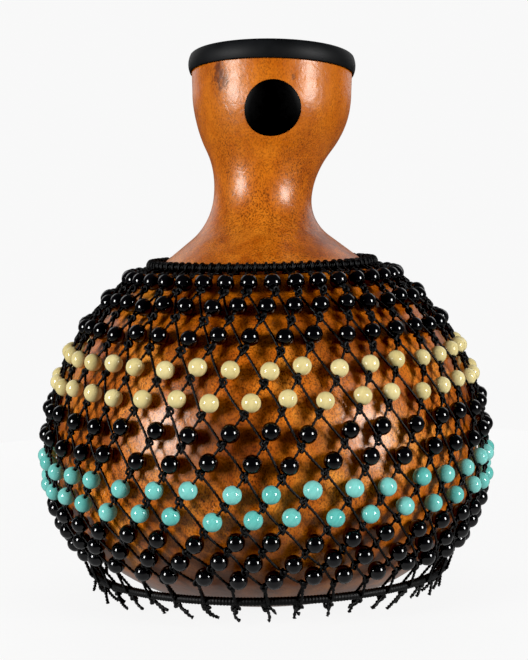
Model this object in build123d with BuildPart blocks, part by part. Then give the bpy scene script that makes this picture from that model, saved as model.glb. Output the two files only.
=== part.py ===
"""Shekere: a hollow calabash gourd that stands in a loose knotted net of round beads.

Millimetres, +Z up, origin on the floor under the belly. The front faces -Y.
"""

import os
from math import asin, atan2, cos, degrees, radians, sin, sqrt, tan

from build123d import *

os.makedirs("parts", exist_ok=True)

# Gourd
belly_radius = 126.0
belly_height = 80.0  # centre of the belly over the floor, and radius of its underside
gourd_wall = 6.0
shoulder_angle = 51.4  # latitude where the belly turns into the straight shoulder
waist_radius = 30.3
waist_lower_bend = 31.0
waist_upper_bend = 52.0
mouth_radius = 48.6
flare_bend = 67.0
lip_height = 19.9  # straight part of the neck over the flare
neck_lean_back = 5.5
neck_lean_side = -0.3  # lean of the shoulder and the waist, negative to the left
mouth_lean_side = 2.0
neck_sway = 8.5  # the neck swerves this far to the right between the shoulder and the flare
sway_length = 76.0  # height that it takes for it

# Rubber edging on the mouth, a channel whose outer face bulges
rim_wall = 1.8
rim_edge = 0.7  # thickness at its lower edge
rim_depth = 9.3
rim_bulge_depth = 4.4  # widest place under the cut edge of the gourd
rim_gap = 0.1
rim_round = 1.2
rim_round_share = 0.9  # the rounding takes at most this share of the wall

# Bead net
beads_per_row = 39
row_count = 12
bead_diameter = 10.0
corner_stand_out = 0.3  # corners of a faceted bead outside its round form
cord_diameter = 1.5
net_stand_off = 0.6  # from the gourd to a bead that is level with the knots
collar_to_knots = 22.4  # from the collar to the first row of knots, measured along the net
hem_height = 28.7  # last row of knots over the floor
drop_ratio = 1.68  # rows of knots start this much further apart than they end
bead_over_knot = 7.3
net_turn = -0.85  # degrees from the front to the first knot of every second row
tie_wander = 1.2  # how far a hand-tied knot strays from an even net
sway_by_place = 2.4  # radians from one knot's sideways stray to the next one's
sway_by_row = 1.7
lift_by_place = 1.9  # the same for its stray up and down
lift_by_row = 2.6
splice_gap = 0.3  # plain cords end this far from the middle of a knot
cord_gap = 0.2
twin_diameter = 2.4  # of a doubled cord
twin_splice_gap = 0.8
shortest_run = 0.5  # a bead that fills its mesh leaves no cord over it

# Collar cord, halfway up the straight shoulder
collar_diameter = 5.0
collar_gap = 0.2

# Cord ring that hangs under the last row of knots
ring_inward = 8.5
ring_drop = 18.4
ring_diameter = 4.0
ring_tilt = 4.2
tail_drop = 8.0
tail_inward = 4.5
tail_spread = 2.2
tail_spacing = 1.9
tail_floor = 1.5

bead_radius = bead_diameter / 2
bead_corner_radius = bead_radius + corner_stand_out
foot_radius = belly_radius - belly_height
net_lift = bead_radius + net_stand_off
net_radius = belly_radius + net_lift
net_under_radius = belly_height + net_lift
belly_centre = Vector(0, 0, belly_height)

# The shoulder stands on its own axis, which leans from the middle of the belly
neck_frame = Plane.XY.offset(belly_height).rotated((-neck_lean_back, neck_lean_side, 0))
neck_side = Plane(neck_frame.origin, x_dir=neck_frame.x_dir, z_dir=-neck_frame.y_dir)
neck_axis = Axis(neck_frame.origin, neck_frame.z_dir)

# Heights along the neck where its bends touch without a crease
shoulder_cos = cos(radians(shoulder_angle))
shoulder_sin = sin(radians(shoulder_angle))
lower_bend_x = waist_radius + waist_lower_bend
waist_height = (belly_radius + waist_lower_bend - lower_bend_x * shoulder_cos) / shoulder_sin
shoulder_start = belly_radius * shoulder_sin
shoulder_end = waist_height - waist_lower_bend * shoulder_sin
upper_bend_x = waist_radius + waist_upper_bend
flare_x = mouth_radius - flare_bend
flare_height = waist_height + sqrt((waist_upper_bend + flare_bend) ** 2 - (upper_bend_x - flare_x) ** 2)
flare_angle = degrees(atan2(flare_height - waist_height, upper_bend_x - flare_x))

# The collar hugs the shoulder, a cone on the leaning neck axis, in a level ring
lean = neck_frame.z_dir.get_angle(Vector(0, 0, 1))
lean_way = Vector(neck_frame.z_dir.X, neck_frame.z_dir.Y, 0).normalized()
collar_height = belly_height + (shoulder_start + shoulder_end) / 2 * cos(radians(lean))
cone_tip = (belly_radius + collar_diameter / 2 + collar_gap) / shoulder_sin
under_tip = belly_height + cone_tip * cos(radians(lean)) - collar_height
near_reach = under_tip * tan(radians(shoulder_angle - lean))
far_reach = under_tip * tan(radians(shoulder_angle + lean))
collar_radius = (near_reach + far_reach) / 2
collar_shift = cone_tip * sin(radians(lean)) + (near_reach - far_reach) / 2
collar_centre = lean_way * collar_shift + Vector(0, 0, collar_height)

# Rows of knots lie between the collar and the hem, closer together further down
collar_arc = net_radius * atan2(collar_height - belly_height, collar_radius)
first_row_arc = collar_arc - collar_to_knots
hem_slope = asin((belly_height - hem_height) / net_under_radius)
net_length = first_row_arc + net_under_radius * hem_slope
last_drop = 2 * net_length / (row_count - 1) / (1 + drop_ratio)
first_drop = drop_ratio * last_drop
drop_change = (first_drop - last_drop) / (row_count - 2)

ring_radius = foot_radius + net_under_radius * cos(hem_slope) - ring_inward
ring_height = hem_height - ring_drop


def neck_level(height):
    """Plane across the neck at a height over the belly's centre: it swerves and turns on its way up."""
    rise = min(1, max(0, (height - shoulder_end) / sway_length))
    turn = mouth_lean_side - neck_lean_side
    slope = tan(radians(turn))
    sideways = neck_sway * rise**2 * (3 - 2 * rise) - sway_length * slope * rise**2 * (1 - rise)
    sideways += slope * max(0, height - shoulder_end - sway_length)
    middle = neck_frame.origin + neck_frame.z_dir * height + neck_frame.x_dir * sideways
    level = Plane(middle, x_dir=neck_frame.x_dir, z_dir=neck_frame.z_dir)
    return level.rotated((0, turn * rise**2 * (3 - 2 * rise), 0))


mouth_plane = neck_level(flare_height).offset(lip_height)
mouth_side = Plane(mouth_plane.origin, x_dir=mouth_plane.x_dir, z_dir=-mouth_plane.y_dir)


def bend_rings(x, height, bend, start, turn, steps):
    """Radius and height of rings round the neck along one bend of its outline."""
    angles = [radians(start + turn * step / steps) for step in range(steps + 1)]
    return [(x + bend * cos(angle), height + bend * sin(angle)) for angle in angles]


def gourd_form(inset, lip):
    """The gourd as a solid, drawn in by the inset, with its neck cut off over a lip of this height."""
    ball = belly_radius - inset
    neck_start = ball * shoulder_sin
    rings = bend_rings(
        lower_bend_x, waist_height, waist_lower_bend + inset, 180 + shoulder_angle, -shoulder_angle, 5
    )
    rings += bend_rings(upper_bend_x, waist_height, waist_upper_bend + inset, 180, -flare_angle, 3)[1:]
    rings += bend_rings(flare_x, flare_height, flare_bend - inset, -flare_angle, flare_angle, 4)[1:]
    with BuildPart() as form:
        with BuildSketch(Plane.XZ):
            with BuildLine():
                floor = Line((0, inset), (foot_radius, inset))
                CenterArc((foot_radius, belly_height), belly_height - inset, -90, 90)
                dome = CenterArc((0, belly_height), ball, 0, 90)
                Line(dome @ 1, floor @ 0)
            make_face()
        revolve(axis=Axis.Z)
        split(bisect_by=neck_frame.offset(neck_start), keep=Keep.BOTTOM)
        with BuildSketch(neck_side):
            with BuildLine():
                Polyline(
                    (0, neck_start),
                    (ball * shoulder_cos, neck_start),
                    rings[0],
                    (0, rings[0][1]),
                    close=True,
                )
            make_face()
        revolve(axis=neck_axis)
        for radius, height in rings:
            with BuildSketch(neck_level(height)):
                Circle(radius)
        loft()
        with BuildSketch(neck_level(flare_height)):
            Circle(mouth_radius - inset)
        extrude(amount=lip)
    return form.part


def net_point(arc, azimuth):
    """A place on the net: the arc is measured from the equator along the net, upwards."""
    turn = radians(azimuth)
    if arc < 0:
        slope = -arc / net_under_radius
        out = foot_radius + net_under_radius * cos(slope)
        return Vector(out * cos(turn), out * sin(turn), belly_height - net_under_radius * sin(slope))
    latitude = arc / net_radius
    outward = Vector(cos(latitude) * cos(turn), cos(latitude) * sin(turn), sin(latitude))
    neck_latitude = degrees(asin(outward.dot(neck_frame.z_dir)))
    past_shoulder = radians(max(0, neck_latitude - shoulder_angle))
    return belly_centre + outward * (net_radius / cos(past_shoulder))


def azimuth_of(row, place):
    """Degrees round the gourd: each row is set half a mesh on from the one above it."""
    return -90 + net_turn + (place + row / 2) * 360 / beads_per_row


def knot(row, place):
    """Where two meshes are tied. Rows are numbered downwards from 1."""
    azimuth = azimuth_of(row, place)
    place = place % beads_per_row
    step = row - 1
    arc = first_row_arc - step * first_drop + drop_change * step * (step - 1) / 2
    sideways = degrees(tie_wander * sin(sway_by_place * place + sway_by_row * row) / belly_radius)
    along = tie_wander * sin(lift_by_place * place + lift_by_row * row)
    return net_point(arc + along, azimuth + sideways)


def ring_point(azimuth):
    """Middle of the hem cord, which hangs higher at the front than at the back."""
    flat = Vector(ring_radius, 0, 0).rotate(Axis.Z, azimuth)
    return flat.rotate(Axis.X, -ring_tilt) + Vector(0, 0, ring_height)


def collar_point(place):
    """Middle of the collar cord, where it is nearest to a place under it."""
    outward = Vector(place.X, place.Y, collar_height) - collar_centre
    return collar_centre + outward.normalized() * collar_radius


def cord_run(start, end, start_trim, end_trim, diameter=cord_diameter):
    """One taut run of cord from one place to another, short of both by the trims."""
    along = (end - start).normalized()
    length = (end - start).length - start_trim - end_trim
    if length < shortest_run:
        return []
    with BuildPart() as run:
        with BuildSketch(Plane(start + along * start_trim, z_dir=along)):
            RegularPolygon(diameter / 2, 3)
        extrude(amount=length)
    return [run.part]


with BuildPart() as gourd_shell:
    add(gourd_form(0, lip_height))
    add(gourd_form(gourd_wall, lip_height + gourd_wall), mode=Mode.SUBTRACT)

with BuildPart() as mouth_rim:
    with BuildSketch(mouth_side) as band:
        with BuildLine():
            bulge = ThreePointArc(
                (mouth_radius + rim_gap + rim_edge, -rim_depth),
                (mouth_radius + rim_gap + rim_wall, -rim_bulge_depth),
                (mouth_radius, rim_wall),
            )
            Polyline(
                bulge @ 1,
                (mouth_radius - gourd_wall - rim_gap - rim_wall, rim_wall),
                (mouth_radius - gourd_wall - rim_gap - rim_wall, -rim_depth),
                (mouth_radius - gourd_wall - rim_gap, -rim_depth),
                (mouth_radius - gourd_wall - rim_gap, 0),
                (mouth_radius + rim_gap, 0),
                (mouth_radius + rim_gap, -rim_depth),
                bulge @ 0,
            )
        make_face()
        fillet(band.vertices().group_by(Axis.Y)[-1], min(rim_round, rim_round_share * rim_wall))
    revolve(axis=Axis(mouth_plane.origin, mouth_plane.z_dir))

with BuildPart() as collar_cord:
    with Locations(collar_centre):
        Torus(collar_radius, collar_diameter / 2)

with BuildPart() as bottom_ring:
    with Locations(Location((0, 0, ring_height), (-ring_tilt, 0, 0))):
        Torus(ring_radius, ring_diameter / 2)

# A round bead as a ball of twenty flat facets, its thread along Z
facet_height = bead_corner_radius / sqrt(5)
facet_radius = 2 * facet_height
upper_corners = [Vector(facet_radius, 0, facet_height).rotate(Axis.Z, 72 * i) for i in range(5)]
lower_corners = [Vector(facet_radius, 0, -facet_height).rotate(Axis.Z, 36 + 72 * i) for i in range(5)]
poles = [Vector(0, 0, bead_corner_radius), Vector(0, 0, -bead_corner_radius)]
with BuildPart() as bead:
    ConvexPolyhedron(poles + upper_corners + lower_corners)

# First tier: doubled cords hang straight down from the collar, each pair through one bead
bead_trim = bead_corner_radius + cord_gap
bead_rows = {1: []}
tiers = {1: []}
for place in range(beads_per_row):
    centre = net_point(first_row_arc + bead_over_knot, azimuth_of(1, place))
    high = collar_point(centre)
    bead_rows[1].append(Plane(centre, z_dir=high - centre))
    tiers[1] += cord_run(centre, high, bead_trim, collar_diameter / 2 + cord_gap, twin_diameter)

# Other tiers: from each knot one cord climbs right through a bead, and one climbs left without
side_room = bead_radius + cord_diameter / 2 + cord_gap
for row in range(2, row_count + 1):
    bead_rows[row] = []
    tiers[row] = []
    for place in range(beads_per_row):
        low = knot(row, place)
        right = knot(row - 1, place + 1)
        left = knot(row - 1, place)
        along = (right - low).normalized()
        spread = radians(along.get_angle(left - low))
        centre = low + along * max(bead_over_knot, side_room / sin(spread))
        bead_rows[row].append(Plane(centre, z_dir=along))
        fork = radians((low - right).get_angle(knot(row, place + 1) - right))
        tiers[row] += cord_run(centre, right, bead_trim, (cord_diameter + cord_gap) / sin(fork))
        tiers[row] += cord_run(low, left, splice_gap, splice_gap)

# Hem: doubled cords drop from the last knots to the ring and end in two cut tails under it
ring_trim = ring_diameter / 2 + cord_gap
drops = []
tails = []
for place in range(beads_per_row):
    azimuth = azimuth_of(row_count, place)
    low = ring_point(azimuth)
    drops += cord_run(low, knot(row_count, place), ring_trim, twin_splice_gap, twin_diameter)
    for side in (-1, 1):
        start = Vector(0, side * tail_spacing / 2, 0)
        end = Vector(-tail_inward, side * tail_spread, max(low.Z - tail_drop, tail_floor) - low.Z)
        skew = radians((end - start).get_angle(Vector(end.X, 0, end.Z)))
        tail_trim = ring_trim / cos(skew) + cord_diameter / 2 * tan(skew)
        tails += cord_run(*[low + tip.rotate(Axis.Z, azimuth) for tip in (start, end)], tail_trim, 0)


def write(pieces, node):
    """Name a finished node and write it."""
    pieces.label = node
    export_step(pieces, f"parts/{node}.step")


write(gourd_shell.part, "gourd_shell")
write(mouth_rim.part, "mouth_rim")
write(collar_cord.part, "collar_cord")
write(bottom_ring.part, "bottom_ring")

for row in range(1, row_count + 1):
    with BuildPart() as bead_row:
        with Locations(*bead_rows[row]):
            add(bead.part)
    write(bead_row.part, f"bead_row_{row:02d}")
    with BuildPart() as net_tier:
        add(tiers[row])
    write(net_tier.part, f"net_tier_{row:02d}")

with BuildPart() as hem_drops:
    add(drops)
write(hem_drops.part, "hem_drops")

with BuildPart() as ring_tails:
    add(tails)
write(ring_tails.part, "ring_tails")
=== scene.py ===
# %% [markdown]
# # A shekere in its bead net
# A shekere is a dried calabash gourd that stands in a loose net of beads. The player shakes it, or
# twists the net against the belly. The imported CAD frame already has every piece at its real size, so
# this lesson only dresses it: smooth skin, round lacquered beads, twisted cord, tied knots and light.

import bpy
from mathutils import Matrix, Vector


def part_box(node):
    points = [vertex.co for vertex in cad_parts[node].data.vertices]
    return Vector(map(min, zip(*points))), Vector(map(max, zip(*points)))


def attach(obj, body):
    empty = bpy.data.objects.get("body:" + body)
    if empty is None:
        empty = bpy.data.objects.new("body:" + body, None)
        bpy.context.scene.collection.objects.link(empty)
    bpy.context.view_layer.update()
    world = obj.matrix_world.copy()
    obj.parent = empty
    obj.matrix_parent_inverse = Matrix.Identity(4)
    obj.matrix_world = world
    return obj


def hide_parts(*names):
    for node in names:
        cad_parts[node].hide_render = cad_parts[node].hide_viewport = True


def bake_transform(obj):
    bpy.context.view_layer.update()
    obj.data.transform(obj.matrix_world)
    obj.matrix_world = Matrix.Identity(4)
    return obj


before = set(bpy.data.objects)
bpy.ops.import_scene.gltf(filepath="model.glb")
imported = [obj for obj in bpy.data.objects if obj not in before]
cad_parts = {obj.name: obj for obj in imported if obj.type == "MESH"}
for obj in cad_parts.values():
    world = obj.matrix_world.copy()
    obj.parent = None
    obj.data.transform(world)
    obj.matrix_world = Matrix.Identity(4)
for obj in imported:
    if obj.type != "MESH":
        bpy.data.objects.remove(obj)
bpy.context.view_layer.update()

# %% The tools of this lesson
import math
import random

import bpy
import numpy as np
from mathutils import Matrix, Vector, noise

MM = 0.001  # Blender works in metres, and the sizes below are in millimetres
chance = random.Random(39)

# %% [markdown]
# ## Where the beads and knots are
# Beads, cords and knots have to sit where the CAD says. Typing their places again would be a long
# table, so they are read from the CAD meshes: a bead's centre is the middle of its solid, and a knot
# is where the plain cord of a mesh ends. The meshes come with split corners, so equal corners are
# welded first, and then every separate solid is collected.


# %% Separate solids of a CAD node
def loose_solids(node):
    """Corner points of each separate solid in a CAD node, in order round the gourd."""
    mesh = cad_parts[node].data
    corners = np.array([corner.co for corner in mesh.vertices])
    weld = 0.002 * MM
    first, where = np.unique(np.round(corners / weld), axis=0, return_index=True, return_inverse=True)[1:]
    where = where.reshape(-1)
    group = list(range(len(first)))

    def leader(i):
        while group[i] != i:
            group[i] = group[group[i]]
            i = group[i]
        return i

    for face in mesh.polygons:
        ids = [leader(where[i]) for i in face.vertices]
        for i in ids[1:]:
            group[leader(i)] = leader(ids[0])
    solids = {}
    for i in range(len(first)):
        solids.setdefault(leader(i), []).append(corners[first[i]])
    solids = [np.array(points) for points in solids.values()]
    return sorted(solids, key=lambda points: math.atan2(*points.mean(axis=0)[[1, 0]]))


def run_ends(points):
    """Lower and upper end of a straight run of cord."""
    middle = points.mean(axis=0)
    along = np.linalg.svd(points - middle)[2][0]
    reach = (points - middle) @ along
    ends = [Vector(points[reach < 0].mean(axis=0)), Vector(points[reach > 0].mean(axis=0))]
    return sorted(ends, key=lambda end: end.z)


row_count = sum(name.startswith("bead_row_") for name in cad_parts)
bead_centres = {
    row: [Vector(points.mean(axis=0)) for points in loose_solids(f"bead_row_{row:02d}")]
    for row in range(1, row_count + 1)
}
beads_per_row = len(bead_centres[1])
print(row_count, "rows of", beads_per_row, "beads")

# %% Knots and strands
splice_gap = 0.3 * MM  # the CAD's plain cords end this far from the middle of a knot


def nearest(places, point):
    return min(places, key=lambda place: (place - point).length)


knots = {}
plain_strands = []
for row in range(2, row_count + 1):
    runs = [run_ends(points) for points in loose_solids(f"net_tier_{row:02d}")]
    runs.sort(key=lambda run: (run[0] - run[1]).length)
    plain = []
    for low, high in runs[-beads_per_row:]:
        along = (high - low).normalized()
        plain.append((low - along * splice_gap, high + along * splice_gap))
    if row == 2:
        knots[1] = [high for low, high in plain]
    knots[row] = [low for low, high in plain]
    plain_strands += [(low, nearest(knots[row - 1], high)) for low, high in plain]

threads = {}  # for each row: bead centre, direction of its thread, knot under it, knot over it
for row in range(2, row_count + 1):
    threads[row] = []
    for centre in bead_centres[row]:
        low = nearest(knots[row], centre)
        along = (centre - low).normalized()
        past = [place for place in knots[row - 1] if (place - centre).dot(along) > 0]
        high = min(past, key=lambda place: (place - low).cross(along).length)
        threads[row].append((centre, along, low, high))

hangers = [run_ends(points) for points in loose_solids("net_tier_01")]
threads[1] = []
for centre in bead_centres[1]:
    low, high = min(hangers, key=lambda run: (run[0] - centre).length)
    threads[1].append((centre, (high - centre).normalized(), nearest(knots[1], centre), high))
print(len(plain_strands), "plain strands and", sum(len(t) for t in threads.values()), "beaded ones")

# %% [markdown]
# ## Building meshes
# Everything here is a swept cord, a turned profile or a copied bead, so two small helpers do most of
# the work. One collects corners and faces until a piece is whole. The other carries a round section
# along a path. A cord of two plies isn't quite round: its section has two lobes that turn with the
# lay of the yarn, and that gives real twisted cord for the price of a plain tube.


# %% Mesh helpers
class Shape:
    """Corners and faces of a piece while it is put together."""

    def __init__(self):
        self.corners = []
        self.faces = []
        self.count = 0

    def add(self, corners, faces):
        self.faces += [[i + self.count for i in face] for face in faces]
        self.corners.append(np.asarray(corners, float).reshape(-1, 3))
        self.count += len(self.corners[-1])

    def piece(self, name, *materials, finish_of_face=None):
        """The finished mesh object, shaded smooth."""
        mesh = bpy.data.meshes.new(name)
        mesh.from_pydata(np.vstack(self.corners).tolist(), [], self.faces)
        mesh.shade_smooth()
        for material in materials:
            mesh.materials.append(material)
        if finish_of_face is not None:
            mesh.polygons.foreach_set("material_index", finish_of_face)
        mesh.update()
        made = bpy.data.objects.new(name, mesh)
        bpy.context.collection.objects.link(made)
        print(f"{name}: {len(mesh.vertices)} corners, {len(mesh.polygons)} faces")
        return made


def sweep(shape, path, facing, radius, sides=6, closed=False, lobes=0, lobe_depth=0.0, lay=1.0):
    """Carry a round or lobed section along a path. Facing is roughly square to the path."""
    path = np.array(path, float)
    steps = np.roll(path, -1, axis=0) - np.roll(path, 1, axis=0) if closed else np.gradient(path, axis=0)
    steps /= np.linalg.norm(steps, axis=1)[:, None]
    side = np.cross(steps, np.broadcast_to(np.array(facing, float), path.shape))
    side /= np.linalg.norm(side, axis=1)[:, None]
    up = np.cross(side, steps)
    spans = np.linalg.norm(np.diff(path, axis=0), axis=1)
    gone = np.concatenate([[0.0], np.cumsum(spans)])
    if closed:
        whole = gone[-1] + np.linalg.norm(path[0] - path[-1])
        lay = whole / round(whole / lay)
    angle = np.linspace(0, 2 * math.pi, sides, endpoint=False)
    lobed = 1 + lobe_depth * np.cos(lobes * (angle[None, :] - 2 * math.pi * gone[:, None] / lay))
    reach = (np.ones(len(path)) * radius)[:, None] * lobed
    spokes = np.cos(angle)[None, :, None] * side[:, None, :] + np.sin(angle)[None, :, None] * up[:, None, :]
    rings = path[:, None, :] + reach[:, :, None] * spokes
    faces = []
    for i in range(len(path) if closed else len(path) - 1):
        j = (i + 1) % len(path)
        for k in range(sides):
            n = (k + 1) % sides
            faces.append((i * sides + k, i * sides + n, j * sides + n, j * sides + k))
    if not closed:
        last = (len(path) - 1) * sides
        faces += [tuple(range(sides - 1, -1, -1)), tuple(range(last, last + sides))]
    shape.add(rings, faces)


def between(start, end, step, bow=(0, 0, 0)):
    """Points from start to end about a step apart, bowed sideways in the middle."""
    count = max(4, round((end - start).length / step) + 1)
    bow = Vector(bow)
    shares = [i / (count - 1) for i in range(count)]
    return [start.lerp(end, share) + bow * (4 * share * (1 - share)) for share in shares]


# %% [markdown]
# ## Materials: the two helpers
# A material is a small network of nodes. One function writes a colour as the sRGB hex that a painter
# would pick and turns it into the linear light that a renderer mixes. Another adds one node with its
# settings and links. Every pattern below is scaled from a real size in millimetres.


# %% Colour and node helpers
def linear(hex_colour):
    """sRGB hex to linear red, green, blue and alpha."""
    channels = [int(hex_colour[i : i + 2], 16) / 255 for i in (1, 3, 5)]
    return (*[c / 12.92 if c <= 0.04045 else ((c + 0.055) / 1.055) ** 2.4 for c in channels], 1.0)


def per_mm(size):
    """Texture scale, in repeats per metre, for a pattern of this size in millimetres."""
    return 1 / (size * MM)


def add_node(tree, kind, settings=None, links=None, stops=()):
    """Add one shader node with its settings, its links and, on a colour ramp, its stops."""
    node = tree.nodes.new("ShaderNode" + kind)
    for name, value in (settings or {}).items():
        if isinstance(name, str) and hasattr(node, name):
            setattr(node, name, value)
        else:
            node.inputs[name].default_value = value
    for name, socket in (links or {}).items():
        tree.links.new(socket, node.inputs[name])
    for i, (place, colour) in enumerate(stops):
        ramp = node.color_ramp.elements
        stop = ramp[i] if i < 2 else ramp.new(place)
        stop.position = place
        stop.color = colour
    return node


def new_material(name, **settings):
    """A material with its node tree and its shader, whose steady values are set on the shader itself."""
    material = bpy.data.materials.new(name)
    material.use_nodes = True
    shader = material.node_tree.nodes["Principled BSDF"]
    for key, value in settings.items():
        shader.inputs[key.replace("_", " ")].default_value = value
    return material, material.node_tree, shader


# %% [markdown]
# ## Varnished calabash
# The shell of a ripe calabash is woody. It is scraped, sanded, stained and brushed with clear varnish.
# To the eye that is a warm orange neck with fine dark flecks and a browner, cloudier belly. The shine
# has two layers: an amber one from the stained skin, and a clear coat over it that wrinkled a little as
# it dried. Colour could be one noise, but skin has several scales at once, so clouds, upright streaks
# and flecks are mixed, each with its own size, and slow patches say where the flecks gather.

# %% Gourd patterns
calabash, tree, shader = new_material(
    "calabash_sanded_and_varnished",
    Specular_IOR_Level=0.35,
    Specular_Tint=linear("#ffcf86"),
    Coat_Weight=0.66,
    Coat_Roughness=0.3,
)
place = add_node(tree, "TexCoord").outputs["Object"]
upright = add_node(tree, "Mapping", {"Scale": (1.0, 1.0, 0.7)}, {"Vector": place}).outputs["Vector"]
cloud_form = {"Scale": per_mm(46), "Detail": 5.0, "Roughness": 0.6, "Distortion": 0.4}
streak_form = {"Scale": per_mm(7), "Detail": 4.0, "Roughness": 0.65}
fleck_form = {"Scale": per_mm(0.9), "Detail": 3.0, "Roughness": 0.65}
patch_form = {"Scale": per_mm(30), "Detail": 3.0, "Roughness": 0.6}
clouds = add_node(tree, "TexNoise", cloud_form, {"Vector": place}).outputs["Fac"]
streaks, flecks, patches = (
    add_node(tree, "TexNoise", form, {"Vector": upright}).outputs["Fac"]
    for form in (streak_form, fleck_form, patch_form)
)
print("skin patterns: clouds, streaks, flecks and patches")

# %% Gourd colours
belly_stops = [(0.30, linear("#863d10")), (0.70, linear("#f09a36")), (0.50, linear("#d27218"))]
neck_stops = [(0.28, linear("#b4590a")), (0.74, linear("#d87b19")), (0.50, linear("#c7690d"))]
belly_colour = add_node(tree, "ValToRGB", {}, {"Fac": clouds}, belly_stops).outputs["Color"]
neck_colour = add_node(tree, "ValToRGB", {}, {"Fac": clouds}, neck_stops).outputs["Color"]
edge_shift = 90 * MM  # how far the clouds can shift the edge between two colours
height = add_node(tree, "SeparateXYZ", links={"Vector": place}).outputs["Z"]
cloud_edge = add_node(
    tree, "Math", {"operation": "MULTIPLY_ADD", 1: edge_shift}, {0: clouds, 2: height}
).outputs[0]
neck_share = add_node(
    tree,
    "MapRange",
    {"From Min": 225 * MM, "From Max": 300 * MM, "interpolation_type": "SMOOTHSTEP"},
    {"Value": cloud_edge},
).outputs[0]
skin = add_node(
    tree, "Mix", {"data_type": "RGBA"}, {0: neck_share, 6: belly_colour, 7: neck_colour}
).outputs[2]
# Towards the foot the skin is blended into a greyer, darker brown: painted sheen and painted shade of the low
# belly.
under_share = add_node(
    tree,
    "MapRange",
    {"From Min": 120 * MM, "From Max": 55 * MM, "To Max": 0.9, "interpolation_type": "SMOOTHSTEP"},
    {"Value": cloud_edge},
).outputs[0]
painted_sheen = add_node(
    tree, "Mix", {"data_type": "RGBA", 7: linear("#5e3826")}, {0: under_share, 6: skin}
).outputs[2]
print("skin colours: belly, neck and weathered underside")

# %% Gourd streaks and flecks
streak_stops = [(0.32, linear("#b98c66")), (0.62, linear("#ffffff"))]
fleck_stops = [(0.37, linear("#451e08")), (0.54, linear("#ffffff"))]
streak_shade = add_node(tree, "ValToRGB", {}, {"Fac": streaks}, streak_stops).outputs["Color"]
fleck_shade = add_node(tree, "ValToRGB", {}, {"Fac": flecks}, fleck_stops).outputs["Color"]
darken = {"data_type": "RGBA", "blend_type": "MULTIPLY"}
streak_share = add_node(tree, "MapRange", {"To Min": 0.7, "To Max": 0.4}, {"Value": neck_share})
streaked = add_node(
    tree, "Mix", darken, {0: streak_share.outputs[0], 6: painted_sheen, 7: streak_shade}
).outputs[2]
patch_share = add_node(tree, "MapRange", {"From Min": 0.42, "From Max": 0.62}, {"Value": patches})
least_share = add_node(
    tree,
    "MapRange",
    {"From Min": 240 * MM, "From Max": 330 * MM, "To Min": 0.62, "To Max": 0.22},
    {"Value": cloud_edge},
)
fleck_share = add_node(
    tree,
    "Math",
    {"operation": "MULTIPLY_ADD", 1: 0.32, "use_clamp": True},
    {0: patch_share.outputs[0], 2: least_share.outputs[0]},
)
# Under that painted sheen the flecks are calmed towards the foot.
calm_share = add_node(tree, "MapRange", {"To Min": 1.0, "To Max": 0.35}, {"Value": under_share})
skin_flecks = add_node(
    tree, "Math", {"operation": "MULTIPLY"}, {0: fleck_share.outputs[0], 1: calm_share.outputs[0]}
)
flecked = add_node(
    tree, "Mix", darken, {0: skin_flecks.outputs[0], 6: streaked, 7: fleck_shade}
).outputs[2]
print("streaks are stronger on the belly, and flecks gather in patches")

# %% [markdown]
# The stain high on the neck dried into the shell. It is painted with a soft ball round its real place.
# A scribble of noise breaks up its edge and a lace of thin veins breaks up its middle, so it doesn't
# look stamped on. Two small scars near the mouth are made the same way.

# %% Gourd stain and scars
marks = [  # middle and reach in millimetres, and colour
    ((-22.0, -16.0, 302.5), 9.5, "#4a0c04"),
    ((20.5, -26.0, 299.0), 2.0, "#3a1808"),
    ((-36.5, 6.5, 281.0), 1.6, "#3a1808"),
]
mark_stretch = (1.0, 1.0, 0.62)  # distance counts for less upwards, so a mark is taller than wide
ragged = 2.4  # how far the scribble shifts an edge, in reaches of the mark
fade_start = 1.95  # the shifted distances where a mark begins and where it is whole, in reaches
fade_end = 1.6
scribble_form = {"Scale": per_mm(5), "Detail": 6.0, "Roughness": 0.8}
scribble = add_node(tree, "TexNoise", scribble_form, {"Vector": upright}).outputs["Fac"]
vein_form = {"feature": "DISTANCE_TO_EDGE", "Scale": per_mm(3.4)}
veins = add_node(tree, "TexVoronoi", vein_form, {"Vector": upright}).outputs["Distance"]
lace = add_node(tree, "MapRange", {"From Max": 0.3, "To Min": 0.95, "To Max": 0.5}, {"Value": veins})
marked = flecked
for middle, reach, colour in marks:
    from_mark = add_node(tree, "VectorMath", {"operation": "SUBTRACT", 1: Vector(middle) * MM}, {0: place})
    mark_form = add_node(tree, "Mapping", {"Scale": mark_stretch}, {"Vector": from_mark.outputs[0]})
    mark_far = add_node(tree, "VectorMath", {"operation": "LENGTH"}, {0: mark_form.outputs[0]})
    mark_edge = add_node(
        tree,
        "Math",
        {"operation": "MULTIPLY_ADD", 1: ragged * reach * MM},
        {0: scribble, 2: mark_far.outputs["Value"]},
    )
    mark_share = add_node(
        tree,
        "MapRange",
        {"From Min": fade_start * reach * MM, "From Max": fade_end * reach * MM},
        {"Value": mark_edge.outputs[0], "To Max": lace.outputs[0]},
    )
    marked = add_node(
        tree, "Mix", {"data_type": "RGBA", 7: linear(colour)}, {0: mark_share.outputs[0], 6: marked}
    ).outputs[2]
print(len(marks), "marks on the neck")

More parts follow.
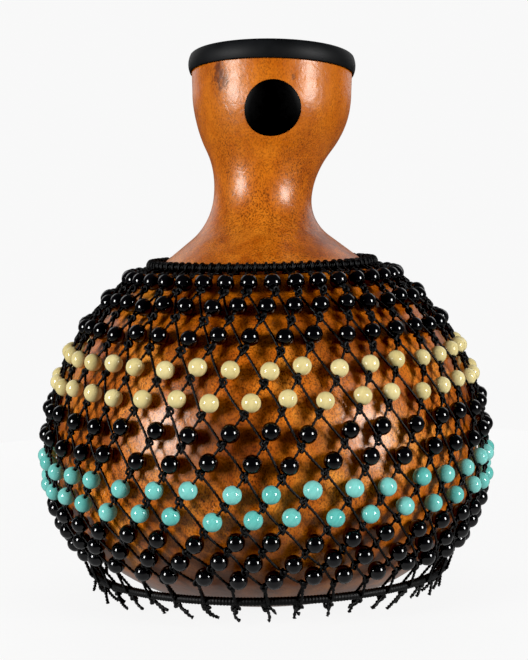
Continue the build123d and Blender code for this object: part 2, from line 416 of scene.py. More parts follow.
# %% Gourd shine, dents and wrinkles
gloss = add_node(tree, "MapRange", {"To Min": 0.36, "To Max": 0.52}, {"Value": streaks})
wrinkle_form = {"Scale": per_mm(4.5), "Detail": 3.0, "Distortion": 0.6}
pores = add_node(tree, "TexNoise", {"Scale": per_mm(2.4), "Detail": 3.0}, {"Vector": place})
dents = add_node(tree, "TexNoise", {"Scale": per_mm(15), "Detail": 2.0}, {"Vector": place})
wrinkles = add_node(tree, "TexNoise", wrinkle_form, {"Vector": place})
dent_bump = add_node(
    tree, "Bump", {"Strength": 0.5, "Distance": 0.9 * MM}, {"Height": dents.outputs["Fac"]}
)
wrinkle_bump = add_node(
    tree,
    "Bump",
    {"Strength": 0.55, "Distance": 0.5 * MM},
    {"Height": wrinkles.outputs["Fac"], "Normal": dent_bump.outputs[0]},
)
pore_bump = add_node(
    tree,
    "Bump",
    {"Strength": 0.35, "Distance": 0.25 * MM},
    {"Height": pores.outputs["Fac"], "Normal": dent_bump.outputs[0]},
)
for socket, source in {
    "Base Color": marked,
    "Roughness": gloss.outputs[0],
    "Normal": pore_bump.outputs[0],
    "Coat Normal": wrinkle_bump.outputs[0],
}.items():
    tree.links.new(source, shader.inputs[socket])
print("material", calabash.name)

# %% [markdown]
# ## Inside of the gourd
# The pulp is scraped out and the wall is left raw: pale, dry and fibrous, with no varnish, so it is
# rough all over. Fibres run up and down, and that is the only pattern it needs.

# %% Raw gourd wall
raw_wall, tree, shader = new_material("calabash_scraped_raw", IOR=1.45, Roughness=0.85)
place = add_node(tree, "TexCoord").outputs["Object"]
upright = add_node(tree, "Mapping", {"Scale": (1.0, 1.0, 0.12)}, {"Vector": place}).outputs["Vector"]
fibre_form = {"Scale": per_mm(2.2), "Detail": 4.0, "Roughness": 0.7}
fibre_stops = [(0.30, linear("#6d4a26")), (0.72, linear("#b48c58"))]
fibres = add_node(tree, "TexNoise", fibre_form, {"Vector": upright}).outputs["Fac"]
fibre_colour = add_node(tree, "ValToRGB", {}, {"Fac": fibres}, fibre_stops)
fibre_bump = add_node(tree, "Bump", {"Strength": 0.6, "Distance": 0.4 * MM}, {"Height": fibres})
tree.links.new(fibre_colour.outputs["Color"], shader.inputs["Base Color"])
tree.links.new(fibre_bump.outputs[0], shader.inputs["Normal"])
print("material", raw_wall.name)

# %% [markdown]
# ## Gourd
# A turned profile would do for a vase, but a gourd grows as it hangs: this neck leans back and swerves
# to one side. So each ring of the mesh has a share of the lean: none below the equator, all of it from
# the shoulder up, and in between it still lies on the ball, because it only turns about the ball's
# centre. Over the shoulder the rings also move aside. The skin is then drawn in by up to a millimetre
# of slow noise, never out, so the net keeps its clearance.

# %% Sizes of the gourd
belly_radius = 126.0
belly_height = 80.0
gourd_wall = 6.0
shoulder_angle = 51.4
waist_radius = 30.3
waist_lower_bend = 31.0
waist_upper_bend = 52.0
mouth_radius = 48.6
flare_bend = 67.0
lip_height = 19.9
neck_lean_back = 5.5
neck_lean_side = -0.3
mouth_lean_side = 2.0
neck_sway = 8.5
sway_length = 76.0
foot_radius = belly_radius - belly_height
shoulder = math.radians(shoulder_angle)
lower_bend_x = waist_radius + waist_lower_bend
waist_height = (belly_radius + waist_lower_bend - lower_bend_x * math.cos(shoulder)) / math.sin(shoulder)
shoulder_end = waist_height - waist_lower_bend * math.sin(shoulder)
upper_bend_x = waist_radius + waist_upper_bend
flare_x = mouth_radius - flare_bend
flare_height = waist_height + math.sqrt((waist_upper_bend + flare_bend) ** 2 - (upper_bend_x - flare_x) ** 2)
flare_angle = math.degrees(math.atan2(flare_height - waist_height, upper_bend_x - flare_x))
mouth_height = flare_height + lip_height


def lean(share):
    """Turn about the belly's centre: the share of the neck's lean that a ring has."""
    back = Matrix.Rotation(math.radians(-neck_lean_back * share), 3, "X")
    return back @ Matrix.Rotation(math.radians(neck_lean_side * share), 3, "Y")


def swerve(up):
    """How far the neck has swerved to the side at a height, and how far it has turned, in radians."""
    rise = min(1.0, max(0.0, (up - shoulder_end) / sway_length))
    turn = math.radians(mouth_lean_side - neck_lean_side)
    sideways = neck_sway * rise**2 * (3 - 2 * rise) - sway_length * math.tan(turn) * rise**2 * (1 - rise)
    sideways += math.tan(turn) * max(0.0, up - shoulder_end - sway_length)
    return sideways, turn * rise**2 * (3 - 2 * rise)


def arc(x, y, radius, start, end, steps):
    """Points of a round stretch of a profile, angles in degrees."""
    angles = np.radians(np.linspace(start, end, steps))
    return [(x + radius * math.cos(a), y + radius * math.sin(a)) for a in angles]


def straight(start, end, steps):
    """Points between two profile points, without the ends."""
    return [tuple(p) for p in np.linspace(start, end, steps + 1)[1:-1]]


# %% Profile of the gourd
def gourd_profile(inset, top):
    """Radius, height over the belly's centre and share of the lean, from the foot to the mouth."""
    ball = belly_radius - inset
    foot = [(foot_radius * share, inset - belly_height) for share in (0.02, 0.3, 0.6, 0.85)]
    under = arc(foot_radius, 0, belly_height - inset, -90, 0, 30)
    belly = arc(0, 0, ball, 0, shoulder_angle, 26)[1:]
    low_bend = arc(lower_bend_x, waist_height, waist_lower_bend + inset, 180 + shoulder_angle, 180, 14)
    high_bend = arc(upper_bend_x, waist_height, waist_upper_bend + inset, 180, 180 - flare_angle, 14)[1:]
    flare = arc(flare_x, flare_height, flare_bend - inset, -flare_angle, 0, 14)[1:]
    slope = straight(belly[-1], low_bend[0], 8)
    lip = straight(flare[-1], (mouth_radius - inset, top), 6) + [(mouth_radius - inset, top)]
    shares = [0.0] * (len(foot) + len(under))
    shares += [math.asin(min(1, y / ball)) / shoulder for x, y in belly]
    neck = slope + low_bend + high_bend + flare + lip
    shares += [1.0] * len(neck)
    return np.column_stack([np.array(foot + under + belly + neck), shares])


def facing_out(profile):
    """Unit normals of a profile, outwards."""
    along = np.gradient(profile[:, :2], axis=0)
    normals = np.column_stack([along[:, 1], -along[:, 0]])
    return normals / np.linalg.norm(normals, axis=1)[:, None]


skin_profile = gourd_profile(0, mouth_height)
skin_normals = facing_out(skin_profile)
print(f"gourd profile: {len(skin_profile)} rings, {belly_height + mouth_height:.1f} mm along the neck")

# %% Unevenness of the skin
dent_depth = 1.0  # most that a grown gourd is drawn in here
dent_width = 58.0
dent_origin = Vector((3.1, 0.4, 7.7))  # where in the noise this gourd begins
still_foot = 14.0  # the standing face and the edge under the rubber stay true
still_lip = 16.0
covered_lip = 4.0


def drawn_in(out, up, turn):
    """How far the skin lies inside the true profile at one place, in millimetres."""
    spot = Vector((out * math.cos(turn), out * math.sin(turn), up)) / dent_width
    depth = dent_depth * (0.5 + 0.5 * noise.noise(spot + dent_origin))
    over_foot = min(1.0, max(0.0, (up + belly_height) / still_foot))
    under_lip = min(1.0, max(0.0, (mouth_height - covered_lip - up) / still_lip))
    return depth * over_foot * under_lip


def on_gourd(out, up, share, turn):
    """A place of the profile, turned round the gourd, in the frame's metres."""
    level = min(up, flare_height)
    sideways, tip = swerve(level)
    ring = Matrix.Rotation(tip, 3, "Y") @ Vector((out * math.cos(turn), out * math.sin(turn), up - level))
    place = lean(share) @ (ring + Vector((sideways, 0, level)))
    return (place + Vector((0, 0, belly_height))) * MM


def on_skin(out, up, share, normal, turn, over=0.0):
    """A place on the uneven skin, or a little over it."""
    step = over - drawn_in(out, up, turn)
    return on_gourd(out + normal[0] * step, up + normal[1] * step, share, turn)


# %% Gourd mesh
gourd_sides = 160
turns = [2 * math.pi * k / gourd_sides for k in range(gourd_sides)]


def turned(rings, sides):
    """Quads between rings of a turned form, with a lid on the first and last ring."""
    faces = []
    for i in range(rings - 1):
        for k in range(sides):
            n = (k + 1) % sides
            faces.append((i * sides + k, i * sides + n, (i + 1) * sides + n, (i + 1) * sides + k))
    last = (rings - 1) * sides
    return faces + [tuple(range(sides - 1, -1, -1)), tuple(range(last, last + sides))]


wall_profile = gourd_profile(gourd_wall, mouth_height)[::-1]
gourd = Shape()
rings = [
    [on_skin(*station, normal, turn) for turn in turns] for station, normal in zip(skin_profile, skin_normals)
]
rings += [[on_gourd(*station, turn) for turn in turns] for station in wall_profile]
gourd_faces = turned(len(rings), gourd_sides)
gourd.add([corner for ring in rings for corner in ring], gourd_faces)
skin_faces = (len(skin_profile) - 1) * gourd_sides
finish = [0 if i < skin_faces else 1 for i in range(len(gourd_faces))]
finish[-2] = 0  # the lid over the first ring is the standing face
gourd_piece = gourd.piece("gourd", calabash, raw_wall, finish_of_face=finish)
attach(gourd_piece, "gourd")
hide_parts("gourd_shell")

# %% [markdown]
# ## Rubber edging
# The cut edge of the neck is covered by an extruded rubber channel, bent round and pushed on. Rubber
# is nearly black and dull, with a soft wide sheen and a little grey bloom. The section is a U with a
# full, rounded outer face, so it is drawn as a short outline with arcs and turned about the neck.

# %% Rubber
rubber, tree, shader = new_material("rubber_extruded_black", Specular_IOR_Level=0.16)
place = add_node(tree, "TexCoord").outputs["Object"]
bloom_form = {"Scale": per_mm(18), "Detail": 4.0, "Roughness": 0.6}
bloom_stops = [(0.35, linear("#0c0d0e")), (0.70, linear("#141517"))]
bloom = add_node(tree, "TexNoise", bloom_form, {"Vector": place}).outputs["Fac"]
bloom_colour = add_node(tree, "ValToRGB", {}, {"Fac": bloom}, bloom_stops)
dull = add_node(tree, "MapRange", {"To Min": 0.46, "To Max": 0.6}, {"Value": bloom})
grit = add_node(tree, "TexNoise", {"Scale": per_mm(0.9), "Detail": 2.0}, {"Vector": place}).outputs["Fac"]
grit_bump = add_node(tree, "Bump", {"Strength": 0.25, "Distance": 0.06 * MM}, {"Height": grit})
tree.links.new(bloom_colour.outputs["Color"], shader.inputs["Base Color"])
tree.links.new(dull.outputs[0], shader.inputs["Roughness"])
tree.links.new(grit_bump.outputs[0], shader.inputs["Normal"])
print("material", rubber.name)

# %% Section of the edging
rim_wall = 1.8
rim_edge = 0.7
rim_depth = 9.3
rim_bulge_depth = 4.4
rim_gap = 0.1
rim_round = 1.5
rim_top = 2.3
rim_lead_in = 0.3  # the outer leg is eased by this where it slides over the skin
rim_chamfer = 0.4  # on the inner leg
bulge_points = 16
brow_point = 13  # the outer face follows its arc up to this point and then turns over to the top
brow_corner = 0.4
brow_end = 2.4


def arc_through(a, b, c, steps):
    """Points of the round arc from a to c over b."""
    (ax, ay), (bx, by), (cx, cy) = a, b, c
    left = np.array([[bx - ax, by - ay], [cx - ax, cy - ay]])
    right = np.array([bx**2 - ax**2 + by**2 - ay**2, cx**2 - ax**2 + cy**2 - ay**2]) / 2
    x, y = np.linalg.solve(left, right)
    start, end = (math.degrees(math.atan2(py - y, px - x)) for px, py in (a, c))
    return arc(x, y, math.dist(a, (x, y)), start, end, steps)


hug = mouth_radius + rim_gap
inner_hug = mouth_radius - gourd_wall - rim_gap
inner = inner_hug - rim_wall
bulge_foot = (hug + rim_edge, -rim_depth)
bulge_middle = (hug + rim_wall, -rim_bulge_depth)
bulge = arc_through(bulge_foot, bulge_middle, (mouth_radius, rim_top), bulge_points)
section = [(hug, 0.0), (hug, -rim_depth + rim_lead_in)] + bulge[: brow_point + 1]
brow = np.array(bulge[brow_point])
corner = np.array((mouth_radius - brow_corner, rim_top))
far = np.array((mouth_radius - brow_end, rim_top))
for t in (0.2, 0.4, 0.6, 0.8, 1.0):
    section.append(tuple(brow * (1 - t) ** 2 + corner * 2 * t * (1 - t) + far * t**2))
section += arc(inner + rim_round, rim_top - rim_round, rim_round, 90, 180, 8)
section += [(inner, -rim_depth + rim_chamfer), (inner + rim_chamfer, -rim_depth)]
section += [(inner_hug, -rim_depth), (inner_hug, 0.0)]
print(len(section), "points round the section of the edging")


# %% Rim mesh
def turned_ring(rings, sides):
    """Quads of a turned form whose last ring joins the first, facing outwards."""
    wrap = rings * sides
    return [[i % wrap for i in face][::-1] for face in turned(rings + 1, sides)[:-2]]


rim = Shape()
rim_corners = [on_gourd(out, mouth_height + up, 1.0, turn) for out, up in section for turn in turns]
rim.add(rim_corners, turned_ring(len(section), gourd_sides))
rim_piece = rim.piece("mouth_edging", rubber)
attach(rim_piece, "gourd")
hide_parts("mouth_rim")

# %% [markdown]
# ## Blank disc
# A round of black vinyl is stuck on the front of the neck. Calendered vinyl is smooth and even, so to
# the eye it is a deep satin black with hardly a scuff. It could float as a flat coin, but a sticker
# follows the skin, so each of its points is pressed onto the skin from the front, and its edge is one
# thin step.

# %% Vinyl
vinyl, tree, shader = new_material("vinyl_calendered_black", Specular_IOR_Level=0.05)
place = add_node(tree, "TexCoord").outputs["Object"]
scuff_form = {"Scale": per_mm(5), "Detail": 6.0, "Roughness": 0.7}
scuff_stops = [(0.4, linear("#040404")), (0.8, linear("#080808"))]
scuffs = add_node(tree, "TexNoise", scuff_form, {"Vector": place}).outputs["Fac"]
scuff_colour = add_node(tree, "ValToRGB", {}, {"Fac": scuffs}, scuff_stops)
satin = add_node(tree, "MapRange", {"To Min": 0.34, "To Max": 0.5}, {"Value": scuffs})
tree.links.new(scuff_colour.outputs["Color"], shader.inputs["Base Color"])
tree.links.new(satin.outputs[0], shader.inputs["Roughness"])
print("material", vinyl.name)

# %% Disc mesh
disc_radius = 16.4
disc_height = 198.0  # along the neck, over the belly's centre
disc_turn = math.radians(-89.0)
disc_over = 0.22
disc_foot = 0.02  # the cut edge starts this far over the skin
neck = skin_profile[:, 2] == 1.0
neck_up, neck_out = skin_profile[neck, 1], skin_profile[neck, 0]
neck_gone = np.concatenate([[0.0], np.cumsum(np.hypot(np.diff(neck_out), np.diff(neck_up)))])
disc_gone = np.interp(disc_height, neck_up, neck_gone)


def on_neck(sideways, upwards, over):
    """A place on the neck's skin: sideways as seen from the front, and upwards along the skin."""
    up = np.interp(disc_gone + upwards, neck_gone, neck_up)
    out = np.interp(up, neck_up, neck_out)
    normal = [np.interp(up, neck_up, skin_normals[neck, i]) for i in (0, 1)]
    return on_skin(out, up, 1.0, normal, disc_turn + math.asin(sideways / out), over)


disc = Shape()
disc_sides = 72
disc_steps = [(1.0, disc_foot), (1.0, disc_over * 0.7), (0.985, disc_over)]
disc_steps += [(share, disc_over) for share in (0.8, 0.6, 0.4, 0.2, 0.03)]
corners = [
    on_neck(disc_radius * share * math.cos(a), disc_radius * share * math.sin(a), over)
    for share, over in disc_steps
    for a in np.linspace(0, 2 * math.pi, disc_sides, endpoint=False)
]
disc.add(corners, turned(len(disc_steps), disc_sides))
disc_piece = disc.piece("blank_disc", vinyl)
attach(disc_piece, "gourd")

# %% [markdown]
# ## Twisted nylon cord
# The net is tied from black nylon: fine filaments laid into two plies. Up close it is dark, with a dry,
# silky shine on top of the plies. The plies themselves are geometry, so the material only adds
# filaments and a little uneven dye.

# %% Cord
nylon, tree, shader = new_material("nylon_twisted_black", Specular_IOR_Level=0.2)
place = add_node(tree, "TexCoord").outputs["Object"]
dye_form = {"Scale": per_mm(9), "Detail": 4.0, "Roughness": 0.65}
dye_stops = [(0.35, linear("#020202")), (0.70, linear("#070708"))]
filament_form = {"Scale": per_mm(0.45), "Detail": 2.0}
dye = add_node(tree, "TexNoise", dye_form, {"Vector": place}).outputs["Fac"]
dye_colour = add_node(tree, "ValToRGB", {}, {"Fac": dye}, dye_stops)
filament = add_node(tree, "TexNoise", filament_form, {"Vector": place}).outputs["Fac"]
silk = add_node(tree, "MapRange", {"To Min": 0.4, "To Max": 0.6}, {"Value": filament})
filament_bump = add_node(tree, "Bump", {"Strength": 0.5, "Distance": 0.08 * MM}, {"Height": filament})
tree.links.new(dye_colour.outputs["Color"], shader.inputs["Base Color"])
tree.links.new(silk.outputs[0], shader.inputs["Roughness"])
tree.links.new(filament_bump.outputs[0], shader.inputs["Normal"])
print("material", nylon.name)

# %% [markdown]
# ## Collar
# A thick cord is pulled tight round the shoulder, and the top of the net is whipped onto it turn by
# turn. Seen close it is a row of small slanting ribs. Those are four strands coiled round a core, so
# they are made as four helices that close on themselves after a whole number of turns. The doubled
# cords of the net are hitched over it, each with two loops and a bar in front, which is the knot called
# a lark's head.

# %% Size of the collar
cord_diameter = 1.5 * MM


def circle_of(node):
    """Centre, radius and cord radius of a ring-shaped CAD node that lies nearly level."""
    low, high = (np.array(corner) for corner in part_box(node))
    centre = Vector((low + high) / 2)
    points = np.array([corner.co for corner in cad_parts[node].data.vertices])
    reach = np.linalg.norm(points - np.array(centre), axis=1)
    return centre, (reach.max() + reach.min()) / 2, (reach.max() - reach.min()) / 2


collar_centre, collar_radius, collar_half = circle_of("collar_cord")
print(f"collar: radius {collar_radius / MM:.1f} mm, cord {2 * collar_half / MM:.1f} mm")


def round_collar(a, b, reach):
    """A place at angle a along the collar and angle b about its cord, and the way out of the cord."""
    outward = Vector((math.cos(a), math.sin(a), 0))
    spoke = outward * math.cos(b) + Vector((0, 0, math.sin(b)))
    return collar_centre + outward * collar_radius + spoke * reach, spoke


# %% Whipping
whip_thick = 0.6 * MM
whip_starts = 4
whip_pitch = 1.35 * MM
whip_turns = round(2 * math.pi * collar_radius / (whip_starts * whip_pitch))
whip_steps = 14
whip_reach = collar_half - whip_thick * 1.2
core_half = collar_half - whip_thick * 1.4
core_turns = np.linspace(0, 2 * math.pi, 200, endpoint=False)
collar = Shape()
core = [round_collar(a, 0, 0)[0] for a in core_turns]
sweep(collar, core, (0, 0, 1), core_half, sides=10, closed=True)
for start in range(whip_starts):
    whip_path = []
    whip_facing = []
    for i in range(whip_turns * whip_steps):
        a = 2 * math.pi * i / (whip_turns * whip_steps)
        b = 2 * math.pi * (i / whip_steps + start / whip_starts)
        on_whip, spoke = round_collar(a, b, whip_reach)
        whip_path.append(on_whip)
        whip_facing.append(spoke)
    sweep(collar, whip_path, whip_facing, whip_thick, sides=5, closed=True)
print(f"whipping: {whip_starts} strands of {whip_turns} turns")

# %% Hitches over the collar
hitch_apart = 2.3 * MM  # half the distance between the two loops of a hitch
hitch_stray = 0.4 * MM
hitch_thick = 0.8 * MM
hitch_lay = 3 * MM
hitch_turns = np.linspace(0, 2 * math.pi, 16, endpoint=False)
bar_point = 13  # the point of a loop, low in front, where the bar crosses it
bar_over = 0.25  # share by which the bar sticks out past each loop
for centre, along, low, high in threads[1]:
    a = math.atan2(high.y - collar_centre.y, high.x - collar_centre.x)
    bars = []
    for side in (-1, 1):
        b = a + (side * hitch_apart + chance.uniform(-hitch_stray, hitch_stray)) / collar_radius
        outward = Vector((math.cos(b), math.sin(b), 0))
        loop = [round_collar(b, t, collar_half)[0] for t in hitch_turns]
        facing = (-outward.y, outward.x, 0)
        sweep(collar, loop, facing, hitch_thick, closed=True, lobes=2, lobe_depth=0.15, lay=hitch_lay)
        bars.append(loop[bar_point] + (outward * 0.6 - Vector((0, 0, 1))) * (cord_diameter * 0.45))
    bars = [bars[0] + (bars[0] - bars[1]) * bar_over, bars[1] + (bars[1] - bars[0]) * bar_over]
    sweep(collar, between(*bars, cord_diameter / 2), (0, 0, 1), cord_diameter / 2)
collar_piece = collar.piece("collar_whipping", nylon)
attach(collar_piece, "gourd")
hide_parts("collar_cord")

# %% [markdown]
# ## Net cords and knots
# Two strands climb from every knot: one plain, one through a bead. The knots are overhand knots, and
# an overhand knot pulled tight is close to a trefoil, which has a short formula. All of the cord is one
# mesh.

# %% Knot form
knot_wide = 4.9 * MM
knot_tall = 6.9 * MM
knot_deep = 3.0 * MM
knot_steps = 34
knot_lay = 4.2 * MM
knot_skew = 0.5  # most that the loops of a knot are pulled out of true, in radians


def tie_knot(shape, centre, up, outward, size=1.0):
    """An overhand knot: a trefoil of cord, taller than wide, flat against the gourd."""
    up = up.normalized()
    side = up.cross(outward).normalized()
    outward = side.cross(up)
    skew = chance.uniform(-knot_skew, knot_skew)
    wide, tall, deep = ((full - cord_diameter) / 2 * size for full in (knot_wide, knot_tall, knot_deep))
    path = []
    for t in np.linspace(0, 2 * math.pi, knot_steps, endpoint=False):
        x = (math.sin(t + skew) + 2 * math.sin(2 * t + skew)) / 2.6
        y = (math.cos(t) - 2 * math.cos(2 * t)) / 3
        path.append(centre + side * (x * wide) + up * (y * tall) - outward * (math.sin(3 * t) * deep))
    thick = cord_diameter / 2 * size
    sweep(shape, path, outward, thick, sides=6, closed=True, lobes=2, lobe_depth=0.14, lay=knot_lay)


def away_from_gourd(place):
    """Direction out of the belly at a place on the net."""
    flat = Vector((place.x, place.y, 0))
    if place.z < belly_height * MM:
        middle = flat.normalized() * (foot_radius * MM) + Vector((0, 0, belly_height * MM))
    else:
        middle = Vector((0, 0, belly_height * MM))
    return (place - middle).normalized()


# %% Net strands
cord_step = 0.8 * MM
lay_length = 4.6 * MM
ply_depth = 0.28
strand_half = cord_diameter * 0.45
slack = 0.7 * MM  # most that a plain strand bows sideways
threaded_slack = 0.1 * MM  # a bead keeps its strand straight
net = Shape()


def strand(shape, start, end, loose=slack):
    """One two-ply strand from knot to knot, with a little slack."""
    outward = away_from_gourd((start + end) / 2)
    sideways = (end - start).cross(outward).normalized()
    bow = sideways * chance.uniform(-loose, loose) + outward * chance.uniform(0, loose / 2)
    path = between(start, end, cord_step, bow)
    sweep(shape, path, outward, strand_half, sides=8, lobes=2, lobe_depth=ply_depth, lay=lay_length)


for low, high in plain_strands:
    strand(net, low, high)
for row in range(2, row_count + 1):
    for centre, along, low, high in threads[row]:
        strand(net, low, high, threaded_slack)
print("strands so far:", net.count, "corners")

# %% First row and knots
cord_end_under = 2 * MM  # the doubled cord ends inside its bead, this far under the middle
hanger_knot_up = 7.0 * MM
hanger_knot_size = 0.95
knot_lean = 0.3
knot_sizes = (0.95, 1.1)
top_rows = 3  # the knots of these rows are tied larger
top_knot_size = 1.12
upward = Vector((0, 0, 1))
for centre, along, low, high in threads[1]:
    sideways = along.cross(away_from_gourd(centre)).normalized() * hitch_apart
    collar_edge = high + along * (collar_half * 0.7)
    for side in (-1, 1):
        strand(net, centre - along * cord_end_under, collar_edge + sideways * side, threaded_slack)
    strand(net, low, centre, threaded_slack)
    tie_knot(net, centre + along * hanger_knot_up, along, away_from_gourd(centre), hanger_knot_size)
for row in range(1, row_count + 1):
    for place in knots[row]:
        outward = away_from_gourd(place)
        up = upward - outward * outward.z + outward.cross(upward) * chance.uniform(-knot_lean, knot_lean)
        size = chance.uniform(*knot_sizes) * (top_knot_size if row <= top_rows else 1.0)
        tie_knot(net, place, up, outward, size)
net_piece = net.piece("net_cords", nylon)
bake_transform(net_piece)
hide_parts(*[f"net_tier_{row:02d}" for row in range(1, row_count + 1)])

# %% [markdown]
# ## Hem
# From each last knot two strands go down, one in front of the ring and one behind it, and meet in a
# stopper knot under it, so the ring is held like a rope in a hand. Below the knot are two cut ends. The
# ring itself is a round braid: its section is swept with crossing lobes to give the plait its relief.

# %% Braided ring
ring_centre, ring_radius, ring_half = circle_of("bottom_ring")
ring_points = np.array([corner.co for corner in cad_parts["bottom_ring"].data.vertices])
ring_axis = Vector(np.linalg.svd(ring_points - ring_points.mean(axis=0), full_matrices=False)[2][2])
ring_axis *= math.copysign(1, ring_axis.z)
ring_x = Vector((1, 0, 0)) - ring_axis * ring_axis.x
ring_x.normalize()
ring_y = ring_axis.cross(ring_x)


def on_ring(a):
    """Outward direction and middle of the ring cord at an angle."""
    outward = ring_x * math.cos(a) + ring_y * math.sin(a)
    return outward, ring_centre + outward * ring_radius


braid = Shape()
braid_pitch = 3.6 * MM
braid_step = 0.55 * MM
braid_lobes = 4
braid_plump = 1.04
braid_relief = 0.16
braid_sides = 16
braid_steps = round(2 * math.pi * ring_radius / braid_step)
braid_turns = round(2 * math.pi * ring_radius / braid_pitch)
corners = []
for i in range(braid_steps):
    share = i / braid_steps
    turn = 2 * math.pi * braid_turns * share
    outward, middle = on_ring(2 * math.pi * share)
    for k in range(braid_sides):
        b = 2 * math.pi * k / braid_sides
        crossing = math.sin(braid_lobes * b + turn) * math.sin(braid_lobes * b - turn)
        reach = ring_half * (braid_plump + braid_relief * crossing)
        corners.append(middle + (outward * math.cos(b) + ring_axis * math.sin(b)) * reach)
braid.add(corners, turned_ring(braid_steps, braid_sides))
braid_piece = braid.piece("hem_ring", nylon)
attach(braid_piece, "net_hem")
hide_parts("bottom_ring")

# %% Hem strands
drops = [run_ends(points) for points in loose_solids("hem_drops")]
tails = [run_ends(points) for points in loose_solids("ring_tails")]
lowest_knot = cord_diameter * 1.9
stopper_drop = 1.9 * MM  # from the ring's cord down to the middle of the stopper knot
stopper_size = 1.2
strand_aside = 0.8 * MM  # the two strands pass the ring this far to each side
hem_strands = Shape()


def hem_drop(low, high):
    """Two strands from a last knot round the ring to a stopper knot. Gives the knot's place and sides."""
    knot_over = nearest(knots[row_count], high)
    flat = ring_axis.cross(low - ring_centre).cross(ring_axis).normalized()
    sideways = ring_axis.cross(flat)
    middle = ring_centre + flat * ring_radius
    pair = sorted(tails, key=lambda run: (run[1] - middle).length)[:2]
    away = ((pair[0][0] + pair[1][0]) / 2 - middle).normalized()
    under = middle + away * (ring_half + stopper_drop)
    under.z = max(under.z, lowest_knot)
    for side in (-1, 1):
        beside = middle + flat * (side * (ring_half + strand_half)) + sideways * (side * strand_aside)
        path = between(knot_over, beside, cord_step) + between(beside, under, cord_step)[1:]
        sweep(hem_strands, path, sideways, cord_diameter / 2, lobes=2, lobe_depth=ply_depth, lay=lay_length)
    tie_knot(hem_strands, under, away, sideways.cross(away), stopper_size)
    return under, flat, sideways


# %% Cut ends
lowest_cord = cord_diameter * 0.85  # the middle of a frayed end that lies on the table
tail_half = cord_diameter * 0.55
frayed_half = [cord_diameter * 0.62, cord_diameter * 0.64]
tail_reach = (4.0, 16.0)  # these and the next values are in millimetres
tail_swing = 4.0
tail_apart = (0.5, 2.5)
tail_outward = (-4.0, 2.0)
tail_fall = (3.0, 8.0)
tail_root = 0.6
tail_curl = 2.0
tail_sag = (0.2, 1.2)
cut_ends = Shape()


def cut_pair(under, flat, sideways):
    """Two cut ends that leave a stopper knot towards the front, fall, curl and fray."""
    forward = sideways * sideways.dot(Vector((0, -1, 0)))
    swing = chance.uniform(-tail_swing, tail_swing) * MM
    for side in (-1, 1):
        reach = chance.uniform(*tail_reach) * MM
        tip = under + forward * reach + sideways * (swing + side * chance.uniform(*tail_apart) * MM)
        tip += flat * chance.uniform(*tail_outward) * MM
        tip.z = max(under.z - chance.uniform(*tail_fall) * MM, lowest_cord)
        start = under + sideways * (side * tail_root * MM)
        curl = sideways * chance.uniform(-tail_curl, tail_curl) * MM
        curl -= Vector((0, 0, chance.uniform(*tail_sag) * MM))
        path = between(start, tip, cord_step / 2, curl)
        for place in path:
            place.z = max(place.z, lowest_cord)
        thick = np.array([tail_half] * (len(path) - len(frayed_half)) + frayed_half)
        sweep(cut_ends, path, sideways, thick, lobes=2, lobe_depth=ply_depth, lay=lay_length)


# %% Hem mesh
for low, high in drops:
    cut_pair(*hem_drop(low, high))
for shape, name, node in ((hem_strands, "hem_strands", "hem_drops"), (cut_ends, "cut_ends", "ring_tails")):
    made = shape.piece(name, nylon)
    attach(made, "net_hem")
    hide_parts(node)

# %% [markdown]
# ## Lacquered beads
# The beads are turned wood, sprayed with gloss lacquer. Black shows almost nothing but its reflections.
# Ivory and turquoise show a trace of the grain under the colour, and no two beads are quite alike. So
# each bead carries two values on its mesh: where it is in the grain, and how light it came out.


# %% Lacquer
def lacquer(name, dark, light, grain_share):
    """Gloss lacquer over turned wood: two near colours mixed by grain and by bead."""
    material, tree, shader = new_material(name, IOR=1.48, Roughness=0.1)
    place = add_node(tree, "Attribute", {"attribute_name": "grain"}).outputs["Vector"]
    along = add_node(tree, "Mapping", {"Scale": (1.0, 1.0, 0.15)}, {"Vector": place}).outputs["Vector"]
    grain_form = {"Scale": per_mm(1.6), "Detail": 3.0, "Roughness": 0.6}
    grain = add_node(tree, "TexNoise", grain_form, {"Vector": along}).outputs["Fac"]
    tint = add_node(tree, "Attribute", {"attribute_name": "tint"}).outputs["Fac"]
    shade = add_node(tree, "Math", {"operation": "MULTIPLY_ADD", 1: grain_share}, {0: grain, 2: tint})
    stops = [(0.15, linear(dark)), (0.85, linear(light))]
    colour = add_node(tree, "ValToRGB", {}, {"Fac": shade.outputs[0]}, stops)
    tree.links.new(colour.outputs["Color"], shader.inputs["Base Color"])
    print("material", name)
    return material


black_lacquer = lacquer("beech_lacquered_black", "#040405", "#09090b", 0.6)
ivory_lacquer = lacquer("beech_lacquered_ivory", "#cbb877", "#e5d69c", 0.7)
turquoise_lacquer = lacquer("beech_lacquered_turquoise", "#4aaba2", "#84d0c8", 0.6)
row_finish = {row: (black_lacquer, "beads_black") for row in range(1, row_count + 1)}
row_finish.update({row: (ivory_lacquer, "beads_ivory") for row in (4, 5)})
row_finish.update({row: (turquoise_lacquer, "beads_turquoise") for row in (8, 9)})

